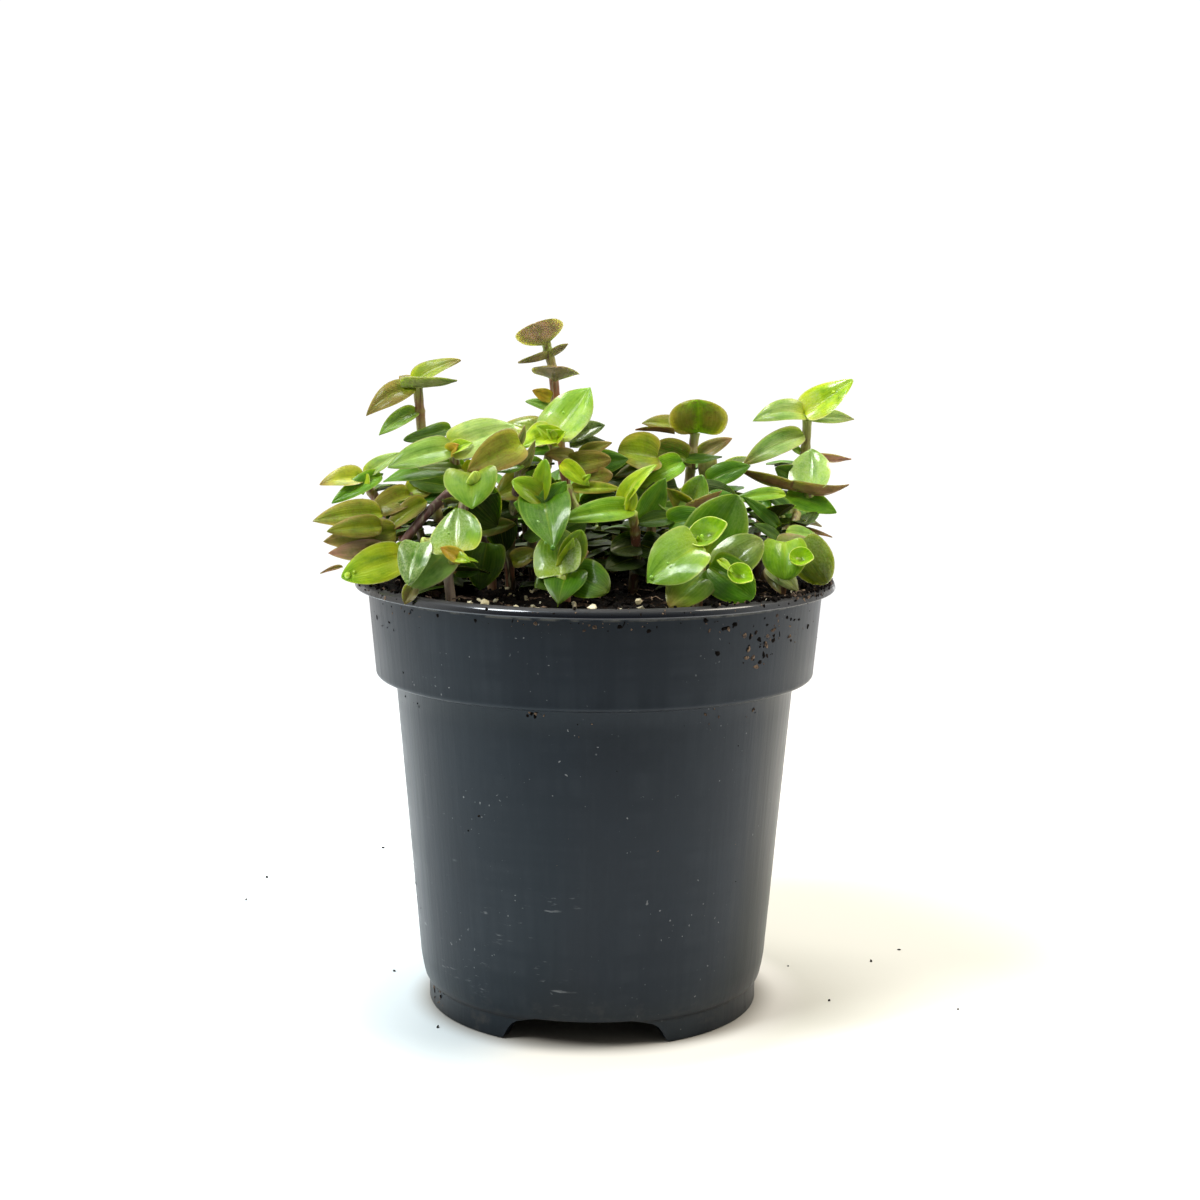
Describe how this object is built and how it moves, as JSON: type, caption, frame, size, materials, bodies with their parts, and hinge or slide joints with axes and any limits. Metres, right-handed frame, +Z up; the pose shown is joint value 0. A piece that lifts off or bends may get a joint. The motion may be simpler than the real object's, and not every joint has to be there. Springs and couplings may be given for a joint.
{
  "type": "potted turtle vine",
  "caption": "Low creeping plant with small round leaves on jointed stems, growing from potting mix in a round tapered nursery pot that stands on a notched foot ring.",
  "frame": {"origin": "on the pot's axis, at the height of the surface that its feet stand on", "axes": "+Z up along the pot's axis; -Y is the plant's fuller front, and +X is to the right of someone who faces it"},
  "size_m": [0.1181, 0.105, 0.152],
  "materials": {
    "black_plastic": "satin moulded black, lightly scuffed and dusted with mix",
    "peat_mix": "loose dark peat with fibres and perlite",
    "stem": "fleshy, tan to reddish brown",
    "leaf_lime": "young leaf, satin lime green",
    "leaf_green": "grown leaf, glossy mid green",
    "leaf_dark": "old leaf, dark green",
    "leaf_bronze": "leaf tinted purple brown"
  },
  "bodies": {
    "root": {"pot": "black_plastic", "potting_mix": "peat_mix", "stem_left_tall": "stem", "leaf_left_tall_1": "leaf_lime", "leaf_left_tall_2": "leaf_bronze", "leaf_left_tall_3": "leaf_green", "stem_left_pair": "stem", "leaf_left_pair_1": "leaf_green", "leaf_left_pair_2": "leaf_lime", "stem_left_mid": "stem", "leaf_left_mid_1": "leaf_bronze", "stem_front_left": "stem", "leaf_front_left_1": "leaf_green", "leaf_front_left_2": "leaf_lime", "leaf_front_left_3": "leaf_green", "stem_left_outer": "stem", "leaf_left_outer_1": "leaf_lime", "leaf_left_outer_2": "leaf_lime", "leaf_left_outer_3": "leaf_bronze", "stem_left_low": "stem", "leaf_left_low_1": "leaf_lime", "leaf_left_low_2": "leaf_green", "stem_centre_tall": "stem", "leaf_centre_tall_1": "leaf_bronze", "leaf_centre_tall_2": "leaf_bronze", "stem_centre_bright": "stem", "leaf_centre_bright_1": "leaf_green", "stem_centre_front": "stem", "leaf_centre_front_1": "leaf_green", "leaf_centre_front_2": "leaf_green", "leaf_centre_front_3": "leaf_green", "stem_centre_right": "stem", "leaf_centre_right_1": "leaf_lime", "stem_centre_olive": "stem", "leaf_centre_olive_1": "leaf_lime", "stem_mushroom": "stem", "leaf_mushroom_1": "leaf_bronze", "leaf_mushroom_2": "leaf_dark", "stem_rosette": "stem", "leaf_rosette_1": "leaf_dark", "stem_front_right": "stem", "leaf_front_right_1": "leaf_lime", "leaf_front_right_2": "leaf_green", "leaf_front_right_3": "leaf_green", "stem_right_rosette": "stem", "leaf_right_rosette_1": "leaf_lime", "leaf_right_rosette_2": "leaf_green", "stem_right_tall": "stem", "leaf_right_tall_1": "leaf_lime", "leaf_right_tall_2": "leaf_lime", "leaf_right_tall_3": "leaf_green", "leaf_right_tall_4": "leaf_green", "leaf_right_tall_5": "leaf_dark", "stem_back_left": "stem", "stem_back_centre": "stem", "stem_back_right": "stem", "stem_back_low_left": "stem", "stem_back_low_right": "stem", "stem_back_far_left": "stem", "stem_back_far_right": "stem"}
  },
  "joints": []
}
